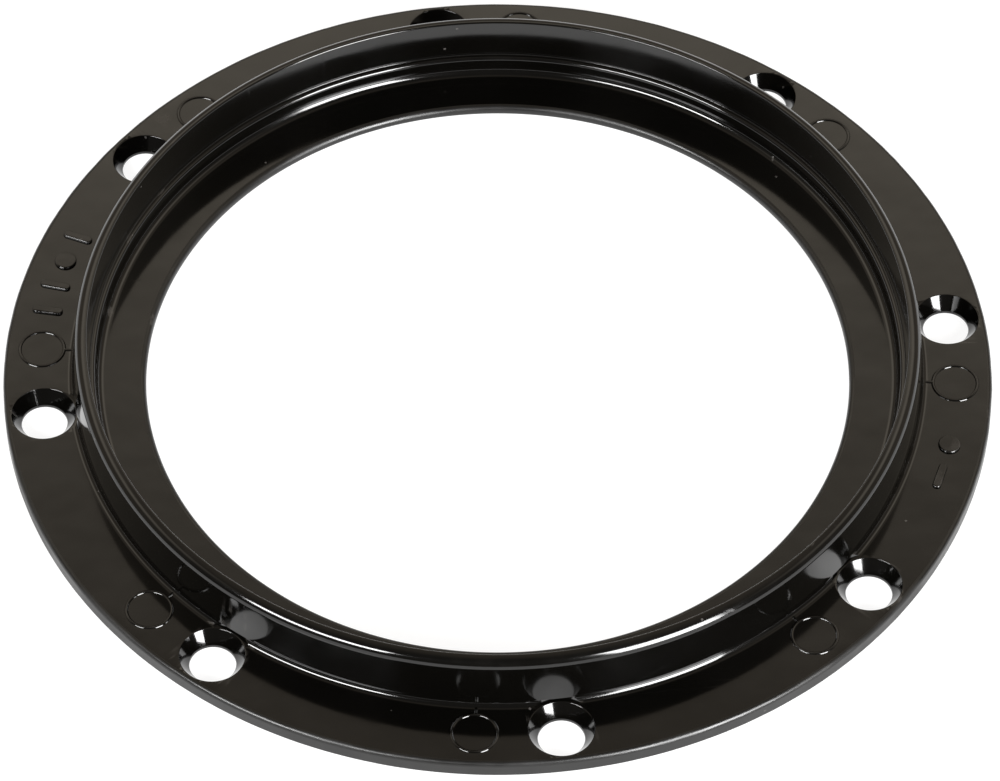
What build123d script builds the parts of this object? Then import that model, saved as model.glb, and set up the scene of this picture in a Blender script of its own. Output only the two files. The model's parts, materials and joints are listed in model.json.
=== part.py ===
from build123d import *

import os

# Toilet flange: one glossy black plastic moulding. A flat screw-down flange carries a low round
# collar, and inside the collar a stepped wall drops to a thin ledge that leaves the waste bore open.
#
# Frame, in millimetres: the origin is the centre of the bore on the flat underside, +Z points out
# of the collar, and the first screw hole is on +X. Radii are measured from the Z axis.

INCH = 25.4

# Driving dimensions. The collar's outer wall leans in a little, from its own radius at the flange to
# the crest's, so that the moulding leaves its mould.
FLANGE_RADIUS = 7 * INCH / 2
FLANGE_THICKNESS = INCH / 8
COLLAR_RADIUS = 6 * INCH / 2
COLLAR_HEIGHT = 9 * INCH / 16
CREST_RADIUS = 75.55
BORE_RADIUS = 63.25
LEDGE_THICKNESS = 2.0

# Stepped inner wall
UPPER_WALL_RADIUS = 73.3
LOWER_WALL_RADIUS = 72.2
STEP_HEIGHT = 5.8

# Corner roundings of the cross-section
FLANGE_TOP_ROUND = 0.9
FLANGE_BOTTOM_ROUND = 0.3
COLLAR_BASE_FILLET = 1.2
CREST_OUTER_ROUND = 1.9
CREST_INNER_ROUND = 0.3
STEP_FILLET = 0.3
STEP_EDGE_ROUND = 0.7
LEDGE_FILLET = 1.5
BORE_TOP_ROUND = 1.0
BORE_BOTTOM_ROUND = 0.7

# Countersunk screw holes
HOLE_COUNT = 8
HOLE_CIRCLE_RADIUS = 81.9
HOLE_RADIUS = 4.1
COUNTERSINK_RADIUS = 5.8
HOLE_LAND = 0.5

# Ejector marks: a hair-thin round ridge, and one more from it to the collar, beside each hole
EJECTOR_RADIUS = 4.0
EJECTOR_CIRCLE_RADIUS = 82.2
EJECTOR_ANGLE = -10.5
RIDGE_RADIUS = 0.35
RIDGE_HEIGHT = 0.2

# Raised marks: plain bars and discs in two groups, given as angle and kind
MARK_HEIGHT = 0.45
MARK_CIRCLE_RADIUS = 82.5
MARK_LENGTH = 5.6
MARK_WIDTH = 1.6
MARK_DISC_RADIUS = 2.0
MARKS = [
    (150.6, "radial bar"),
    (154.8, "disc"),
    (159.0, "radial bar"),
    (163.2, "radial bar"),
    (-20.5, "disc"),
    (-25.7, "cross bar"),
]

# Cutters and raised marks run this far into or past the surface that they meet
OVERLAP = 0.5


def cross_section():
    """The ring's half section: the outline's corners as radius, height and rounding."""
    corners = [
        (BORE_RADIUS, 0, BORE_BOTTOM_ROUND),
        (FLANGE_RADIUS, 0, FLANGE_BOTTOM_ROUND),
        (FLANGE_RADIUS, FLANGE_THICKNESS, FLANGE_TOP_ROUND),
        (COLLAR_RADIUS, FLANGE_THICKNESS, COLLAR_BASE_FILLET),
        (CREST_RADIUS, COLLAR_HEIGHT, CREST_OUTER_ROUND),
        (UPPER_WALL_RADIUS, COLLAR_HEIGHT, CREST_INNER_ROUND),
        (UPPER_WALL_RADIUS, STEP_HEIGHT, STEP_FILLET),
        (LOWER_WALL_RADIUS, STEP_HEIGHT, STEP_EDGE_ROUND),
        (LOWER_WALL_RADIUS, LEDGE_THICKNESS, LEDGE_FILLET),
        (BORE_RADIUS, LEDGE_THICKNESS, BORE_TOP_ROUND),
    ]
    section = make_face(Polyline(*[(r, z) for r, z, _ in corners], close=True))
    for r, z, rounding in corners:
        section = fillet(section.vertices().sort_by_distance((r, z))[0], rounding)
    return section


def screw_hole():
    """The cutter for one countersunk hole: the shank's hole and the cone that takes the screw head."""
    depth = FLANGE_THICKNESS - HOLE_LAND
    slope = (COUNTERSINK_RADIUS - HOLE_RADIUS) / depth
    shank = Cylinder(HOLE_RADIUS, FLANGE_THICKNESS + 2 * OVERLAP, align=(Align.CENTER, Align.CENTER, Align.MIN))
    cone = Cone(
        HOLE_RADIUS,
        COUNTERSINK_RADIUS + slope * OVERLAP,
        depth + OVERLAP,
        align=(Align.CENTER, Align.CENTER, Align.MIN),
    )
    return Pos(0, 0, -OVERLAP) * shank + Pos(0, 0, HOLE_LAND) * cone


def ejector_mark():
    """The thin ridges of one ejector mark: a ring, and a straight line from it in to the collar."""
    reach = EJECTOR_CIRCLE_RADIUS - EJECTOR_RADIUS - COLLAR_RADIUS
    ring = Torus(EJECTOR_RADIUS, RIDGE_RADIUS)
    line = Rot(0, -90, 0) * Cylinder(RIDGE_RADIUS, reach, align=(Align.CENTER, Align.CENTER, Align.MIN))
    return Pos(0, 0, FLANGE_THICKNESS + RIDGE_HEIGHT - RIDGE_RADIUS) * (ring + Pos(-EJECTOR_RADIUS, 0, 0) * line)


def raised_mark(kind):
    """One plain raised mark, standing on the flange."""
    if kind == "disc":
        outline = Circle(MARK_DISC_RADIUS)
    else:
        outline = SlotOverall(MARK_LENGTH, MARK_WIDTH, rotation=90 if kind == "cross bar" else 0)
    return Pos(0, 0, FLANGE_THICKNESS - OVERLAP) * extrude(outline, MARK_HEIGHT + OVERLAP)


def flange_ring():
    """The whole moulding."""
    ring = revolve(Plane.XZ * cross_section(), Axis.Z)
    pitch = 360 / HOLE_COUNT
    ring -= [Rot(0, 0, i * pitch) * Pos(HOLE_CIRCLE_RADIUS, 0, 0) * screw_hole() for i in range(HOLE_COUNT)]
    ring += [
        Rot(0, 0, i * pitch + EJECTOR_ANGLE) * Pos(EJECTOR_CIRCLE_RADIUS, 0, 0) * ejector_mark()
        for i in range(HOLE_COUNT)
    ]
    ring += [Rot(0, 0, angle) * Pos(MARK_CIRCLE_RADIUS, 0, 0) * raised_mark(kind) for angle, kind in MARKS]
    return ring


os.makedirs("parts", exist_ok=True)
export_step(flange_ring(), "parts/flange_ring.step")
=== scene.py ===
"""Toilet flange: the moulded ring, its finish and its studio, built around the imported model.

The ring is one black plastic moulding. Its cross-section is drawn as an outline, turned round the
bore, cut for the countersunk screw holes, and given the fine relief that the mould leaves on it.
All sizes are in metres, and +Z points out of the collar.
"""

import json
from math import cos, pi, radians, sin, tan

import bmesh
import bpy
from bpy.props import FloatProperty, FloatVectorProperty, IntProperty, PointerProperty
from bpy.types import Operator, Panel, PropertyGroup
from mathutils import Matrix, Vector


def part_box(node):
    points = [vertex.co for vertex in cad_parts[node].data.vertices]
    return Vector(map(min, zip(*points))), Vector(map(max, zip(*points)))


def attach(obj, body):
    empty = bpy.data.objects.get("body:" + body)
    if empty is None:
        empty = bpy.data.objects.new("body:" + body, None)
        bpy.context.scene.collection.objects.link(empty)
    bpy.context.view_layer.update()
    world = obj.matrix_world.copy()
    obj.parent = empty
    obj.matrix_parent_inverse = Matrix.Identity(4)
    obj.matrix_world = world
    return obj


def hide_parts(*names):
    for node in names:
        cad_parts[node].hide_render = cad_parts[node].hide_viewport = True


bl_info = {
    "name": "Toilet Flange",
    "version": (1, 0, 0),
    "blender": (4, 5, 0),
    "location": "3D View > Sidebar > Flange",
    "description": "Models a moulded toilet flange, its glossy finish and a plain studio",
    "category": "Object",
}

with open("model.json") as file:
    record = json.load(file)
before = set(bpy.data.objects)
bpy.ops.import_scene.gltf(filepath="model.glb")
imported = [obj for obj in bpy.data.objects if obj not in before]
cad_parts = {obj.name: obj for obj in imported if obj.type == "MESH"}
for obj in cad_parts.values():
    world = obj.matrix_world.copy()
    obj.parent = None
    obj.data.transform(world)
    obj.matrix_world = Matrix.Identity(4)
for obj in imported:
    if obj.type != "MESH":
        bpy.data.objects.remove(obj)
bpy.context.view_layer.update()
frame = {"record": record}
CAD_NODE = "flange_ring"
LOW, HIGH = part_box(CAD_NODE)
MOUNTS = {mount["name"]: mount for mount in frame["record"]["mounts"]}
MM = 0.001

RING = "moulded_ring"
OVERLAP = 0.5 * MM
MERGE_DISTANCE = 0.002 * MM
SMOOTH_ANGLE = radians(32)

# Steps of the small round shapes
HOLE_STEPS, HOLE_ARC_STEPS = 96, 4
EJECTOR_STEPS, RIDGE_STEPS = 64, 16
DISC_STEPS, BAR_END_STEPS, MARK_EDGE_STEPS = 48, 8, 3

# The countersink's rim opens out past the flange's top by this many lips, at this slope
FLARE_LIPS, FLARE_SLOPE = 3, radians(8)

# A bar's ends are rounded by this share of its width, so that its last face isn't lost
BAR_END_SHARE = 0.49

# Below this, a face's upward share counts as facing straight down
DOWNWARD = -0.99

FLOOR_SIZE = 8

# The bright band on the wall: the elevations in degrees from which, and to which, its edges brighten
BAND_TOP, BAND_BOTTOM = (54.5, 45.5), (30, 42)


def mount_size(name, key):
    """A dimension of a mount, in metres."""
    return MOUNTS[name]["dims"][key] * MM


def length(name, description, default):
    """A length that a user may change."""
    return FloatProperty(
        name=name, description=description, default=default, min=0, unit="LENGTH", precision=5
    )


def colour(name, description, default):
    """A colour that a user may change."""
    return FloatVectorProperty(
        name=name, description=description, default=default, size=3, min=0, soft_max=1, subtype="COLOR"
    )


def angle(name, description, degrees):
    """An angle that a user may change."""
    return FloatProperty(name=name, description=description, default=radians(degrees), subtype="ANGLE")


def share(name, description, default):
    """A share from 0 to 1 that a user may change."""
    return FloatProperty(name=name, description=description, default=default, min=0, max=1, subtype="FACTOR")


class FlangeSectionSizes(PropertyGroup):
    """Heights, radii and roundings of the ring's cross-section."""

    flange_radius: length("Flange radius", "Outer edge of the flange", HIGH.x)
    flange_thickness: length("Flange thickness", "Underside to the flange's top", 3.175 * MM)
    flange_top_edge: length("Flange top edge", "Rounding of the flange's outer edge at its top", 0.9 * MM)
    flange_low_edge: length("Flange low edge", "Rounding of the outer edge at its underside", 0.3 * MM)
    collar_radius: length("Collar radius", "Outside of the collar at the flange", 76.2 * MM)
    collar_height: length("Collar height", "Underside to the collar's crest", HIGH.z)
    collar_fillet: length("Collar fillet", "Fillet where the collar meets the flange", 1.2 * MM)
    collar_draft: length("Collar draft", "How far the collar's outside leans in up to its crest", 0.65 * MM)
    crest_outer: length("Crest outer edge", "Rounding of the crest's outer edge", 1.9 * MM)
    crest_inner: length("Crest inner edge", "Rounding of the crest's inner edge", 0.3 * MM)
    socket_radius: length("Socket radius", "Wall above the step", mount_size("collar_socket", "r_mm"))
    socket_draft: length("Socket draft", "How far the socket leans out and in at its two ends", 0.12 * MM)
    step_height: length("Step height", "Underside to the step inside the collar", 5.8 * MM)
    step_fillet: length("Step fillet", "Fillet where the step meets the socket", 0.2 * MM)
    step_edge: length("Step edge", "Rounding of the step's edge", 0.7 * MM)
    recess_radius: length("Recess radius", "Wall below the step", mount_size("seal_recess", "r_mm"))
    ledge_fillet: length("Ledge fillet", "Fillet where the ledge meets the wall", 1.5 * MM)
    ledge_thickness: length("Ledge thickness", "Underside to the top of the ledge", 2.0 * MM)
    bore_top_edge: length("Bore top edge", "Rounding of the ledge's inner edge at its top", 1.0 * MM)
    bore_low_edge: length("Bore low edge", "Rounding of the ledge's inner edge at its underside", 0.7 * MM)
    bore_radius: length("Bore radius", "Open waste bore", mount_size("waste_bore", "r_mm"))
    uneven_depth: length("Uneven edge", "How far the flange's outer edge sinks here and there", 0.12 * MM)
    uneven_grain: length("Uneven grain", "Size of the outer edge's uneven patches", 3.0 * MM)
    around: IntProperty(name="Steps around", description="Steps of the turned ring", default=600, min=48)
    arc_steps: IntProperty(name="Arc steps", description="Steps of each rounding", default=7, min=2)


class FlangeReliefSizes(PropertyGroup):
    """Screw holes, ejector marks and raised marks."""

    hole_count: IntProperty(
        name="Screw holes",
        description="Number of holes",
        default=MOUNTS["screw_holes"]["dims"]["count"],
        min=1,
    )
    hole_circle: length(
        "Hole circle", "Radius of the circle of holes", mount_size("screw_holes", "pcd_mm") / 2
    )
    hole_radius: length("Hole radius", "Radius of the through hole", mount_size("screw_holes", "hole_r_mm"))
    hole_land: length("Hole land", "Straight length below the countersink", 0.5 * MM)
    sink_radius: length("Countersink radius", "Radius of the countersink at the top", 5.8 * MM)
    sink_lip: length("Countersink lip", "Rounding of the countersink's rim", 0.25 * MM)
    ejector_circle: length("Ejector circle", "Radius of the circle of ejector marks", 82.2 * MM)
    ejector_radius: length("Ejector radius", "Radius of one ejector mark", 4.0 * MM)
    ejector_angle: angle("Ejector angle", "Turn from a hole to its mark", -10.5)
    ridge_radius: length("Ridge radius", "Rounding of the ejector mark's ridge", 0.35 * MM)
    ridge_height: length("Ridge height", "Height of the ejector mark's ridge", 0.2 * MM)
    mark_circle: length("Mark circle", "Radius of the circle of raised marks", 82.5 * MM)
    mark_length: length("Mark length", "Length of a raised bar", 5.6 * MM)
    mark_width: length("Mark width", "Width of a raised bar", 1.6 * MM)
    mark_disc: length("Mark disc", "Radius of a raised disc", 2.0 * MM)
    mark_height: length("Mark height", "Height of the raised marks", 0.45 * MM)
    mark_edge: length("Mark edge", "Rounding of the raised marks' top edge", 0.3 * MM)


class FlangeFinish(PropertyGroup):
    """Colours and surface of the moulding."""

    plastic: colour("Plastic", "Black plastic", (0.0010, 0.0009, 0.0007))
    rubbed: colour("Rubbed plastic", "Plastic where its edges have rubbed", (0.022, 0.020, 0.018))
    dust: colour("Dust", "Pale dust on the plastic", (0.32, 0.30, 0.28))
    polish: share("Polish", "Roughness of the glossy faces", 0.10)
    satin: share("Satin", "Roughness of the underside", 0.26)
    trimmed: share("Trimmed", "Roughness of the outer edge and the bore's edge", 0.34)


class FlangeStudio(PropertyGroup):
    """The camera, the lights, the floor and the room."""

    camera_azimuth: angle("Camera azimuth", "Turn of the camera round the ring, from -Y", -7.70)
    camera_elevation: angle("Camera elevation", "Height of the camera above the floor", 50.45)
    camera_distance: length("Camera distance", "From the ring's centre to the camera", 1.2318)
    camera_lens: FloatProperty(name="Lens", description="Focal length in millimetres", default=246.1, min=1)
    camera_aim: FloatVectorProperty(
        name="Aim",
        description="Point that the camera looks at",
        default=(0.00041, -0.0031, 0),
        subtype="TRANSLATION",
    )
    light_distance: length("Light distance", "From the ring's centre to a softbox", 1.6)
    light_strength: FloatProperty(
        name="Light strength", description="Radiance of a softbox", default=18, min=0
    )
    floor: colour("Floor", "Pale floor", (0.2, 0.2, 0.2))
    floor_glow: FloatProperty(name="Floor glow", description="Light that the floor gives", default=0.9, min=0)
    room_back: colour("Bright wall", "The bright band on the wall behind the ring", (1.42, 1.28, 1.06))
    room_above: colour("Ceiling", "The room above and below the bright wall", (0.36, 0.31, 0.25))
    room_dark: colour("Dark room", "The room on the camera's side", (0.09, 0.085, 0.08))


# Raised marks: angle round the ring, and kind
MARKS = (
    (150.6, "radial bar"),
    (154.8, "disc"),
    (159.0, "radial bar"),
    (163.2, "radial bar"),
    (-20.5, "disc"),
    (-25.7, "cross bar"),
)


# ---------------------------------------------------------------- modelling helpers


def only(piece):
    """Selects one object alone and makes it active."""
    bpy.ops.object.select_all(action="DESELECT")
    piece.select_set(True)
    bpy.context.view_layer.objects.active = piece


def edit(piece, mode="VERT"):
    """Opens one object in edit mode with nothing selected."""
    only(piece)
    bpy.ops.object.mode_set(mode="EDIT")
    bpy.ops.mesh.select_mode(type=mode)
    bpy.ops.mesh.select_all(action="DESELECT")


def pick(elements, wanted):
    """Selects the vertices, edges or faces of the edited mesh that the test wants."""
    mesh = bpy.context.object.data
    edited = bmesh.from_edit_mesh(mesh)
    for element in getattr(edited, elements):
        if wanted(element):
            element.select_set(True)
    bmesh.update_edit_mesh(mesh)


def pick_nearest(point):
    """Selects the one vertex of the edited mesh that is nearest to a point."""
    mesh = bpy.context.object.data
    edited = bmesh.from_edit_mesh(mesh)
    min(edited.verts, key=lambda vertex: (vertex.co - point).length).select_set(True)
    bmesh.update_edit_mesh(mesh)


def draw_outline(name, corners, arc_steps):
    """Draws a closed outline through the corners, each a radius, a height and a rounding, and rounds them."""
    points = [Vector((radius, 0, height)) for radius, height, _ in corners]
    bpy.ops.object.select_all(action="DESELECT")
    bpy.ops.mesh.primitive_plane_add(size=MM)
    outline = bpy.context.object
    outline.name = name
    bpy.ops.object.mode_set(mode="EDIT")
    bpy.ops.mesh.select_mode(type="VERT")
    bpy.ops.mesh.merge(type="CENTER")
    bpy.ops.transform.translate(value=points[0])
    for start, end in zip(points, points[1:]):
        bpy.ops.mesh.extrude_region_move(TRANSFORM_OT_translate={"value": end - start})
    bpy.ops.mesh.select_all(action="DESELECT")
    pick_nearest(points[0])
    pick_nearest(points[-1])
    bpy.ops.mesh.edge_face_add()
    for index, (_, _, rounding) in enumerate(corners):
        if rounding:
            back = (points[index - 1] - points[index]).normalized()
            ahead = (points[(index + 1) % len(points)] - points[index]).normalized()
            bpy.ops.mesh.select_all(action="DESELECT")
            pick_nearest(points[index])
            bpy.ops.mesh.bevel(
                offset=rounding / tan(back.angle(ahead) / 2),
                segments=arc_steps,
                affect="VERTICES",
                clamp_overlap=False,
            )
    return outline


def turn_outline(around):
    """Turns the edited outline round the Z axis into a closed solid."""
    bpy.ops.mesh.select_all(action="SELECT")
    bpy.ops.mesh.spin(steps=around, angle=2 * pi, center=(0, 0, 0), axis=(0, 0, 1))
    bpy.ops.mesh.select_all(action="SELECT")
    bpy.ops.mesh.remove_doubles(threshold=MERGE_DISTANCE)
    bpy.ops.mesh.normals_make_consistent(inside=False)
    bpy.ops.object.mode_set(mode="OBJECT")


def move_out(piece, distance):
    """Moves a whole mesh along +X, so that its object stays at the origin."""
    edit(piece)
    bpy.ops.mesh.select_all(action="SELECT")
    bpy.ops.transform.translate(value=(distance, 0, 0))
    bpy.ops.object.mode_set(mode="OBJECT")


def turned_copy(piece, angle):
    """A copy of the piece with its own mesh, turned round the Z axis."""
    only(piece)
    bpy.ops.object.duplicate(linked=False)
    copy = bpy.context.object
    copy.rotation_euler.z = angle
    bpy.ops.object.transform_apply(location=False, rotation=True, scale=False)
    return copy


def gather(pieces):
    """Joins pieces into one object."""
    only(pieces[0])
    for piece in pieces:
        piece.select_set(True)
    bpy.ops.object.join()
    return bpy.context.object


def combine(ring, tool, operation):
    """Cuts the tool from the ring or adds it to the ring, and removes the tool."""
    only(ring)
    bpy.ops.object.modifier_add(type="BOOLEAN")
    boolean = ring.modifiers[-1]
    boolean.operation = operation
    boolean.solver = "EXACT"
    boolean.object = tool
    bpy.ops.object.modifier_apply(modifier=boolean.name)
    only(tool)
    bpy.ops.object.delete()


def close_gaps(ring):
    """Merges doubled vertices and fills the small gaps that cutting and adding leave in the mesh."""
    edit(ring)
    bpy.ops.mesh.select_all(action="SELECT")
    bpy.ops.mesh.remove_doubles(threshold=MERGE_DISTANCE)
    bpy.ops.mesh.dissolve_degenerate(threshold=MERGE_DISTANCE)
    bpy.ops.mesh.select_all(action="DESELECT")
    bpy.ops.mesh.select_non_manifold()
    bpy.ops.mesh.fill_holes(sides=0)
    bpy.ops.mesh.select_all(action="SELECT")
    bpy.ops.mesh.normals_make_consistent(inside=False)
    bpy.ops.object.mode_set(mode="OBJECT")


# ---------------------------------------------------------------- pieces


class FLANGE_OT_ring(Operator):
    """Turn the ring's cross-section: flange, collar, stepped wall, ledge and bore edge"""

    bl_idname = "flange.ring"
    bl_label = "Moulded Ring"

    def make_edge_uneven(self, ring, size):
        """Sinks the flange's outer edge a little here and there, as on a trimmed moulding."""
        group = ring.vertex_groups.new(name="outer_edge")
        for vertex in ring.data.vertices:
            past_top = (vertex.co.xy.length - size.flange_radius) / size.flange_top_edge + 1
            above_low = vertex.co.z / size.flange_low_edge
            group.add([vertex.index], max(0, min(1, past_top, above_low)), "REPLACE")
        clouds = bpy.data.textures.new("uneven_edge", "CLOUDS")
        clouds.noise_scale = size.uneven_grain
        only(ring)
        bpy.ops.object.modifier_add(type="DISPLACE")
        sink = ring.modifiers[-1]
        sink.texture = clouds
        sink.texture_coords = "LOCAL"
        sink.vertex_group = group.name
        sink.mid_level = 1
        sink.strength = size.uneven_depth
        bpy.ops.object.modifier_apply(modifier=sink.name)
        ring.vertex_groups.clear()

    def execute(self, context):
        size = context.scene.flange_section
        corners = (
            (size.bore_radius, 0, size.bore_low_edge),
            (size.flange_radius, 0, size.flange_low_edge),
            (size.flange_radius, size.flange_thickness, size.flange_top_edge),
            (size.collar_radius, size.flange_thickness, size.collar_fillet),
            (size.collar_radius - size.collar_draft, size.collar_height, size.crest_outer),
            (size.socket_radius + size.socket_draft, size.collar_height, size.crest_inner),
            (size.socket_radius - size.socket_draft, size.step_height, size.step_fillet),
            (size.recess_radius, size.step_height, size.step_edge),
            (size.recess_radius, size.ledge_thickness, size.ledge_fillet),
            (size.bore_radius, size.ledge_thickness, size.bore_top_edge),
        )
        ring = draw_outline(RING, corners, size.arc_steps)
        turn_outline(size.around)
        self.make_edge_uneven(ring, size)
        return {"FINISHED"}


class FLANGE_OT_screw_holes(Operator):
    """Cut the countersunk screw holes through the flange"""

    bl_idname = "flange.screw_holes"
    bl_label = "Countersunk Screw Holes"

    def execute(self, context):
        section, size = context.scene.flange_section, context.scene.flange_relief
        top = section.flange_thickness
        flare = FLARE_LIPS * size.sink_lip
        corners = (
            (0, -OVERLAP, 0),
            (size.hole_radius, -OVERLAP, 0),
            (size.hole_radius, size.hole_land, size.sink_lip),
            (size.sink_radius, top, size.sink_lip),
            (size.sink_radius + flare, top + flare * tan(FLARE_SLOPE), 0),
            (size.sink_radius + flare, top + 2 * OVERLAP, 0),
            (0, top + 2 * OVERLAP, 0),
        )
        cutter = draw_outline("hole_cutter", corners, HOLE_ARC_STEPS)
        turn_outline(HOLE_STEPS)
        move_out(cutter, size.hole_circle)
        cutters = [turned_copy(cutter, 2 * pi * i / size.hole_count) for i in range(size.hole_count)]
        only(cutter)
        bpy.ops.object.delete()
        combine(bpy.data.objects[RING], gather(cutters), "DIFFERENCE")
        return {"FINISHED"}


class FLANGE_OT_ejector_marks(Operator):
    """Raise the hair-thin ridges that the ejector pins leave beside the holes"""

    bl_idname = "flange.ejector_marks"
    bl_label = "Ejector Marks"

    def execute(self, context):
        section, size = context.scene.flange_section, context.scene.flange_relief
        height = section.flange_thickness + size.ridge_height - size.ridge_radius
        reach = size.ejector_circle - size.ejector_radius - section.collar_radius
        bpy.ops.object.select_all(action="DESELECT")
        bpy.ops.mesh.primitive_torus_add(
            major_radius=size.ejector_radius,
            minor_radius=size.ridge_radius,
            major_segments=EJECTOR_STEPS,
            minor_segments=RIDGE_STEPS,
            location=(size.ejector_circle, 0, height),
        )
        bpy.ops.object.transform_apply(location=True, rotation=False, scale=False)
        ridge = bpy.context.object
        bpy.ops.object.select_all(action="DESELECT")
        bpy.ops.mesh.primitive_cylinder_add(
            radius=size.ridge_radius,
            depth=reach,
            vertices=RIDGE_STEPS,
            location=(section.collar_radius + reach / 2, 0, height),
            rotation=(0, pi / 2, 0),
        )
        bpy.ops.object.transform_apply(location=True, rotation=True, scale=False)
        line = bpy.context.object
        pitch = 2 * pi / size.hole_count
        for shape in (ridge, line):
            marks = [turned_copy(shape, size.ejector_angle + i * pitch) for i in range(size.hole_count)]
            only(shape)
            bpy.ops.object.delete()
            combine(bpy.data.objects[RING], gather(marks), "UNION")
        return {"FINISHED"}


class FLANGE_OT_raised_marks(Operator):
    """Raise the plain bars and discs that stand on the flange"""

    bl_idname = "flange.raised_marks"
    bl_label = "Raised Marks"

    def soften(self, piece, top, edge):
        """Rounds the top edge of a mark."""
        edit(piece, "EDGE")
        pick("edges", lambda e: all(abs(v.co.z - top) < MERGE_DISTANCE for v in e.verts))
        bpy.ops.mesh.bevel(offset=edge, segments=MARK_EDGE_STEPS, affect="EDGES")
        bpy.ops.object.mode_set(mode="OBJECT")

    def disc(self, size, bottom, top):
        """A raised disc, centred on the Z axis."""
        bpy.ops.object.select_all(action="DESELECT")
        bpy.ops.mesh.primitive_cylinder_add(
            radius=size.mark_disc,
            depth=top - bottom,
            vertices=DISC_STEPS,
            location=(0, 0, (top + bottom) / 2),
        )
        bpy.ops.object.transform_apply(location=True, rotation=False, scale=False)
        return bpy.context.object

    def bar(self, size, bottom, top, turned):
        """A raised bar with round ends, along the X axis or turned across it, centred on the Z axis."""
        along, across = (size.mark_width, size.mark_length) if turned else (size.mark_length, size.mark_width)
        bpy.ops.object.select_all(action="DESELECT")
        bpy.ops.mesh.primitive_cube_add(
            size=1, location=(0, 0, (top + bottom) / 2), scale=(along, across, top - bottom)
        )
        bpy.ops.object.transform_apply(location=True, rotation=False, scale=True)
        piece = bpy.context.object
        edit(piece, "EDGE")
        pick("edges", lambda e: abs(e.verts[0].co.z - e.verts[1].co.z) > MERGE_DISTANCE)
        bpy.ops.mesh.bevel(offset=size.mark_width * BAR_END_SHARE, segments=BAR_END_STEPS, affect="EDGES")
        bpy.ops.object.mode_set(mode="OBJECT")
        return piece

    def execute(self, context):
        section, size = context.scene.flange_section, context.scene.flange_relief
        bottom = section.flange_thickness - OVERLAP
        top = section.flange_thickness + size.mark_height
        marks = []
        for angle, kind in MARKS:
            if kind == "disc":
                mark = self.disc(size, bottom, top)
            else:
                mark = self.bar(size, bottom, top, kind == "cross bar")
            self.soften(mark, top, size.mark_edge)
            move_out(mark, size.mark_circle)
            marks.append(turned_copy(mark, radians(angle)))
            only(mark)
            bpy.ops.object.delete()
        ring = bpy.data.objects[RING]
        combine(ring, gather(marks), "UNION")
        close_gaps(ring)
        return {"FINISHED"}


# ---------------------------------------------------------------- finish


def add_node(tree, kind, inputs, **settings):
    """Adds a node with its settings, and gives each of its inputs a value or a link."""
    node = tree.nodes.new(kind)
    for name, value in settings.items():
        setattr(node, name, value)
    for key, value in inputs.items():
        if isinstance(value, bpy.types.NodeSocket):
            tree.links.new(value, node.inputs[key])
        else:
            node.inputs[key].default_value = value
    return node


def maths(tree, operation, *values):
    """The result of one step of arithmetic."""
    return add_node(tree, "ShaderNodeMath", dict(enumerate(values)), operation=operation).outputs[0]


def remap(tree, value, low, high, to_low=0.0, to_high=1.0):
    """A value moved smoothly from one range to another."""
    limits = {"Value": value, "From Min": low, "From Max": high, "To Min": to_low, "To Max": to_high}
    return add_node(tree, "ShaderNodeMapRange", limits, interpolation_type="SMOOTHSTEP").outputs["Result"]


def blended(tree, mask, low, high):
    """One colour where the mask is 0, and another where it is 1."""
    mix = tree.nodes.new("ShaderNodeMix")
    mix.data_type = "RGBA"
    sockets = (mix.inputs[0], mix.inputs[6], mix.inputs[7])
    for socket, value in zip(sockets, (mask, low, high)):
        if isinstance(value, bpy.types.NodeSocket):
            tree.links.new(value, socket)
        else:
            socket.default_value = value
    return mix.outputs[2]


def noise(tree, place, scale, detail=2.0):
    """Soft noise from 0 to 1."""
    inputs = {"Vector": place, "Scale": scale, "Detail": detail}
    return add_node(tree, "ShaderNodeTexNoise", inputs).outputs["Fac"]


def effect(name, inputs, outputs):
    """A shader node group with named number inputs besides its place on the piece, and its two ends."""
    tree = bpy.data.node_groups.new(name, "ShaderNodeTree")
    tree.interface.new_socket("Place", in_out="INPUT", socket_type="NodeSocketVector")
    for label, default in inputs.items():
        socket = tree.interface.new_socket(label, in_out="INPUT", socket_type="NodeSocketFloat")
        socket.default_value = default
    for label in outputs:
        tree.interface.new_socket(label, in_out="OUTPUT", socket_type="NodeSocketFloat")
    start = tree.nodes.new("NodeGroupInput").outputs
    end = tree.nodes.new("NodeGroupOutput").inputs
    return tree, start, end


def mould_surface():
    """The slow waves that cooling leaves in a moulded face, and the mould's fine texture, as a height."""
    tree, start, end = effect(
        "mould_surface",
        {"Wave Scale": 70, "Wave Depth": 0.05, "Grain Scale": 900, "Grain Depth": 0.001},
        ["Height"],
    )
    waves = maths(tree, "MULTIPLY", noise(tree, start["Place"], start["Wave Scale"]), start["Wave Depth"])
    grain = maths(tree, "MULTIPLY", noise(tree, start["Place"], start["Grain Scale"]), start["Grain Depth"])
    tree.links.new(maths(tree, "ADD", waves, grain), end["Height"])
    return tree


def rubbed_edges():
    """Where convex edges have rubbed, broken up into patches."""
    tree, start, end = effect("rubbed_edges", {"Patch Scale": 260, "Wear": 1}, ["Mask"])
    point = tree.nodes.new("ShaderNodeNewGeometry").outputs["Pointiness"]
    convex = remap(tree, point, 0.512, 0.56)
    patches = remap(tree, noise(tree, start["Place"], start["Patch Scale"], 4), 0.46, 0.66)
    broken = maths(tree, "MULTIPLY", convex, patches)
    tree.links.new(maths(tree, "MULTIPLY", broken, start["Wear"]), end["Mask"])
    return tree


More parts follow.
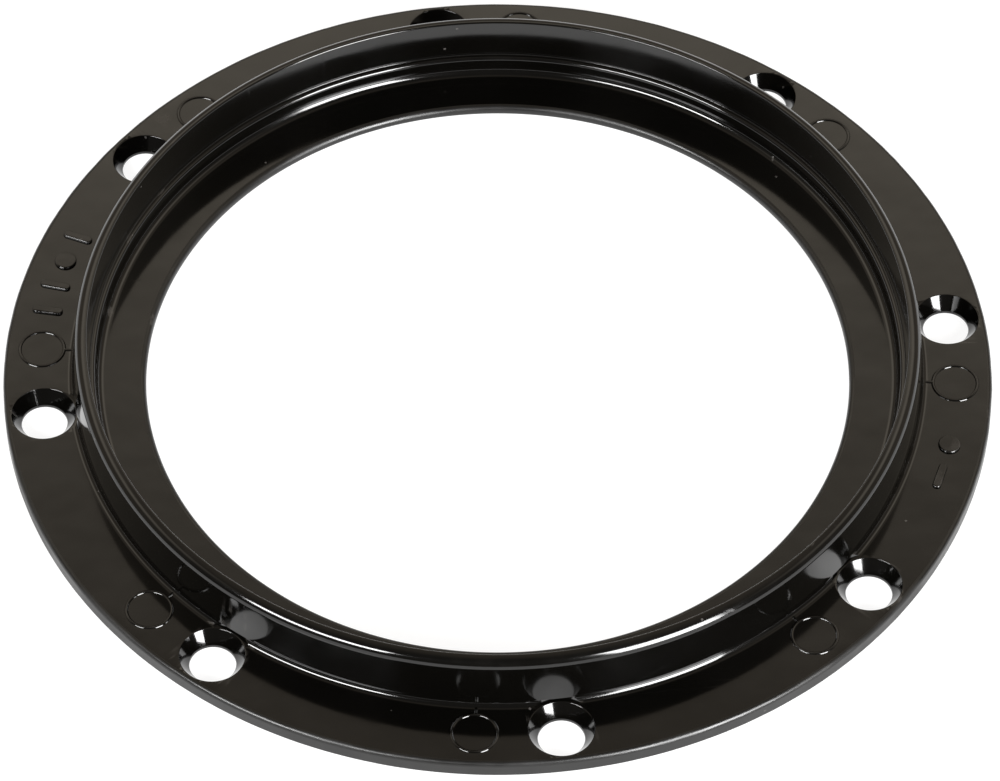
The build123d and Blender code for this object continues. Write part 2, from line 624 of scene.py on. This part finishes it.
def dust_specks():
    """Separate specks of dust, and a thin film of it in cloudy patches."""
    sizes = {"Speck Scale": 420, "Speck Size": 0.10, "Film Scale": 38}
    tree, start, end = effect("dust_specks", sizes, ["Specks", "Film"])
    inputs = {"Vector": start["Place"], "Scale": start["Speck Scale"]}
    cells = add_node(tree, "ShaderNodeTexVoronoi", inputs)
    near = maths(tree, "LESS_THAN", cells.outputs["Distance"], start["Speck Size"])
    chance = add_node(tree, "ShaderNodeSeparateColor", {"Color": cells.outputs["Color"]}).outputs["Red"]
    tree.links.new(maths(tree, "MULTIPLY", near, maths(tree, "GREATER_THAN", chance, 0.97)), end["Specks"])
    tree.links.new(remap(tree, noise(tree, start["Place"], start["Film Scale"], 5), 0.42, 0.72), end["Film"])
    return tree


def handling_haze():
    """Smudges and hairline scuffs from handling, as masks."""
    tree, start, end = effect("handling_haze", {"Smudge Scale": 55, "Scuff Scale": 30}, ["Smudge", "Scuff"])
    smudge = remap(tree, noise(tree, start["Place"], start["Smudge Scale"], 3), 0.40, 0.68)
    warp = add_node(
        tree,
        "ShaderNodeMapping",
        {"Vector": start["Place"], "Rotation": (0, 0, radians(28)), "Scale": (1, 26, 1)},
    ).outputs["Vector"]
    lines = noise(tree, warp, start["Scuff Scale"], 3)
    scuff = remap(tree, lines, 0.69, 0.74)
    tree.links.new(smudge, end["Smudge"])
    tree.links.new(scuff, end["Scuff"])
    return tree


def plain_material(name):
    """A material with one Principled BSDF, and that shader."""
    material = bpy.data.materials.new(name)
    material.use_nodes = True
    return material, material.node_tree.nodes["Principled BSDF"]


def moulded_plastic(name, finish, effects, roughness, wear):
    """Black plastic from the mould, with its waves, rubbed edges, dust and smudges."""
    material, shader = plain_material(name)
    tree = material.node_tree
    place = tree.nodes.new("ShaderNodeTexCoord").outputs["Object"]

    def placed(effect_name, **inputs):
        """The effect's outputs on this material, with its own values."""
        group = tree.nodes.new("ShaderNodeGroup")
        group.node_tree = effects[effect_name]
        tree.links.new(place, group.inputs["Place"])
        for label, value in inputs.items():
            group.inputs[label.replace("_", " ").title()].default_value = value
        return group.outputs

    surface = placed("mould_surface", wave_depth=0.06 * MM, grain_depth=0.0012 * MM)
    rubbed = placed("rubbed_edges", wear=wear)["Mask"]
    dust = placed("dust_specks")
    haze = placed("handling_haze")

    film = maths(tree, "MULTIPLY", dust["Film"], 0.002)
    dusty = maths(tree, "MAXIMUM", maths(tree, "MULTIPLY", dust["Specks"], 0.12), film)
    worn = blended(tree, rubbed, (*finish.plastic, 1), (*finish.rubbed, 1))
    tree.links.new(blended(tree, dusty, worn, (*finish.dust, 1)), shader.inputs["Base Color"])

    smudged = remap(tree, haze["Smudge"], 0, 1, roughness * 0.9, roughness * 1.3)
    scuffed = maths(tree, "ADD", smudged, maths(tree, "MULTIPLY", haze["Scuff"], 0.06))
    marked = maths(tree, "MULTIPLY", maths(tree, "ADD", rubbed, dust["Specks"]), 0.18)
    rough = maths(tree, "ADD", scuffed, marked)
    tree.links.new(rough, shader.inputs["Roughness"])
    shader.inputs["IOR"].default_value = 1.54

    bump = add_node(tree, "ShaderNodeBump", {"Height": surface["Height"], "Strength": 1, "Distance": 1})
    tree.links.new(bump.outputs["Normal"], shader.inputs["Normal"])
    return material


class FLANGE_OT_finish(Operator):
    """Give the ring its glossy black plastic, a satin underside and dull trimmed edges"""

    bl_idname = "flange.finish"
    bl_label = "Plastic Finish"

    def execute(self, context):
        finish = context.scene.flange_finish
        trees = (mould_surface(), rubbed_edges(), dust_specks(), handling_haze())
        effects = {tree.name: tree for tree in trees}
        ring = bpy.data.objects[RING]
        ring.data.materials.clear()
        surfaces = (
            ("glossy_black_plastic", finish.polish, 1),
            ("satin_black_plastic", finish.satin, 0.5),
            ("trimmed_black_plastic", finish.trimmed, 1),
        )
        for name, roughness, wear in surfaces:
            ring.data.materials.append(moulded_plastic(name, finish, effects, roughness, wear))
        section = context.scene.flange_section
        inner = section.bore_radius + section.bore_top_edge
        outer = section.flange_radius - section.flange_top_edge
        for face in ring.data.polygons:
            if face.normal.z < DOWNWARD and face.center.z < MERGE_DISTANCE:
                face.material_index = 1
            elif not inner < face.center.xy.length < outer:
                face.material_index = 2
        only(ring)
        bpy.ops.object.shade_smooth_by_angle(angle=SMOOTH_ANGLE)
        bpy.ops.object.modifier_add(type="WEIGHTED_NORMAL")
        weighted = ring.modifiers[-1]
        weighted.keep_sharp = True
        bpy.ops.object.modifier_apply(modifier=weighted.name)
        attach(ring, "root")
        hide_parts(CAD_NODE)
        return {"FINISHED"}


# ---------------------------------------------------------------- studio

# Softboxes: name, azimuth from the camera and elevation in degrees, width and height in metres, and
# strength beside the studio's own
SOFTBOXES = (
    ("softbox_left", -43, 34, 0.84, 0.34, 1.8),
    ("softbox_right", 38, 22, 0.70, 0.96, 1.6),
)


def towards(studio, azimuth, elevation):
    """The direction from the ring to a place, with its azimuth in degrees round from the camera's."""
    turn, rise = radians(azimuth) + studio.camera_azimuth, radians(elevation)
    return Vector((sin(turn) * cos(rise), -cos(turn) * cos(rise), sin(rise)))


class FLANGE_OT_studio(Operator):
    """Set out the pale floor, the softboxes, the room and the camera"""

    bl_idname = "flange.studio"
    bl_label = "Studio"

    def floor(self, studio):
        """A bright pale floor under the ring."""
        bpy.ops.object.select_all(action="DESELECT")
        bpy.ops.mesh.primitive_plane_add(size=FLOOR_SIZE, location=(0, 0, LOW.z))
        floor = bpy.context.object
        floor.name = "floor"
        material, shader = plain_material("pale_floor")
        shader.inputs["Base Color"].default_value = (*studio.floor, 1)
        shader.inputs["Roughness"].default_value = 0.8
        shader.inputs["Specular IOR Level"].default_value = 0
        shader.inputs["Emission Color"].default_value = (1, 1, 1, 1)
        shader.inputs["Emission Strength"].default_value = studio.floor_glow
        floor.data.materials.append(material)

    def softbox(self, studio, name, azimuth, elevation, width, height, strength):
        """An area light that faces the ring."""
        light = bpy.data.lights.new(name, "AREA")
        light.shape = "RECTANGLE"
        light.size, light.size_y = width, height
        light.energy = studio.light_strength * strength * pi * width * height
        lamp = bpy.data.objects.new(name, light)
        bpy.context.scene.collection.objects.link(lamp)
        place = towards(studio, azimuth, elevation) * studio.light_distance
        lamp.location = place
        lamp.rotation_euler = (-place).to_track_quat("-Z", "Y").to_euler()

    def room(self, studio):
        """A room with a bright band on the wall behind the ring, and dark on the camera's side."""
        world = bpy.data.worlds.new("room")
        world.use_nodes = True
        tree = world.node_tree
        direction = tree.nodes.new("ShaderNodeTexCoord").outputs["Generated"]
        height = add_node(tree, "ShaderNodeSeparateXYZ", {"Vector": direction}).outputs["Z"]
        edges = [remap(tree, height, *(sin(radians(e)) for e in edge)) for edge in (BAND_TOP, BAND_BOTTOM)]
        band = maths(tree, "MULTIPLY", *edges)
        backwards = {0: direction, 1: towards(studio, 180, 0)}
        behind = add_node(tree, "ShaderNodeVectorMath", backwards, operation="DOT_PRODUCT").outputs["Value"]
        wall = blended(tree, band, (*studio.room_above, 1), (*studio.room_back, 1))
        colours = blended(tree, remap(tree, behind, -0.45, 0.45), (*studio.room_dark, 1), wall)
        tree.links.new(colours, tree.nodes["Background"].inputs["Color"])
        bpy.context.scene.world = world

    def camera(self, studio):
        """The camera, at its long lens, a little off the ring's centre."""
        camera = bpy.data.cameras.new("camera")
        camera.lens = studio.camera_lens
        camera.clip_start, camera.clip_end = 0.05, 20
        eye = bpy.data.objects.new("camera", camera)
        bpy.context.scene.collection.objects.link(eye)
        aim = Matrix.Rotation(studio.camera_azimuth, 3, "Z") @ Vector(studio.camera_aim)
        elevation = studio.camera_elevation * 180 / pi
        eye.location = towards(studio, 0, elevation) * studio.camera_distance
        eye.rotation_euler = (aim - eye.location).to_track_quat("-Z", "Y").to_euler()
        bpy.context.scene.camera = eye

    def execute(self, context):
        studio = context.scene.flange_studio
        self.floor(studio)
        for softbox in SOFTBOXES:
            self.softbox(studio, *softbox)
        self.room(studio)
        self.camera(studio)
        context.scene.view_settings.view_transform = "Standard"
        return {"FINISHED"}


class FLANGE_PT_panel(Panel):
    """The flange's tools in the sidebar"""

    bl_idname = "FLANGE_PT_panel"
    bl_label = "Toilet Flange"
    bl_space_type = "VIEW_3D"
    bl_region_type = "UI"
    bl_category = "Flange"

    def draw(self, context):
        for step in STEPS:
            self.layout.operator(step.bl_idname)


STEPS = (
    FLANGE_OT_ring,
    FLANGE_OT_screw_holes,
    FLANGE_OT_ejector_marks,
    FLANGE_OT_raised_marks,
    FLANGE_OT_finish,
    FLANGE_OT_studio,
)
CLASSES = (FlangeSectionSizes, FlangeReliefSizes, FlangeFinish, FlangeStudio, *STEPS, FLANGE_PT_panel)


def register():
    for item in CLASSES:
        bpy.utils.register_class(item)
    bpy.types.Scene.flange_section = PointerProperty(type=FlangeSectionSizes)
    bpy.types.Scene.flange_relief = PointerProperty(type=FlangeReliefSizes)
    bpy.types.Scene.flange_finish = PointerProperty(type=FlangeFinish)
    bpy.types.Scene.flange_studio = PointerProperty(type=FlangeStudio)


def unregister():
    del bpy.types.Scene.flange_studio
    del bpy.types.Scene.flange_finish
    del bpy.types.Scene.flange_relief
    del bpy.types.Scene.flange_section
    for item in reversed(CLASSES):
        bpy.utils.unregister_class(item)


def main():
    register()
    bpy.ops.flange.ring()
    bpy.ops.flange.screw_holes()
    bpy.ops.flange.ejector_marks()
    bpy.ops.flange.raised_marks()
    bpy.ops.flange.finish()
    bpy.ops.flange.studio()


if __name__ == "__main__":
    main()
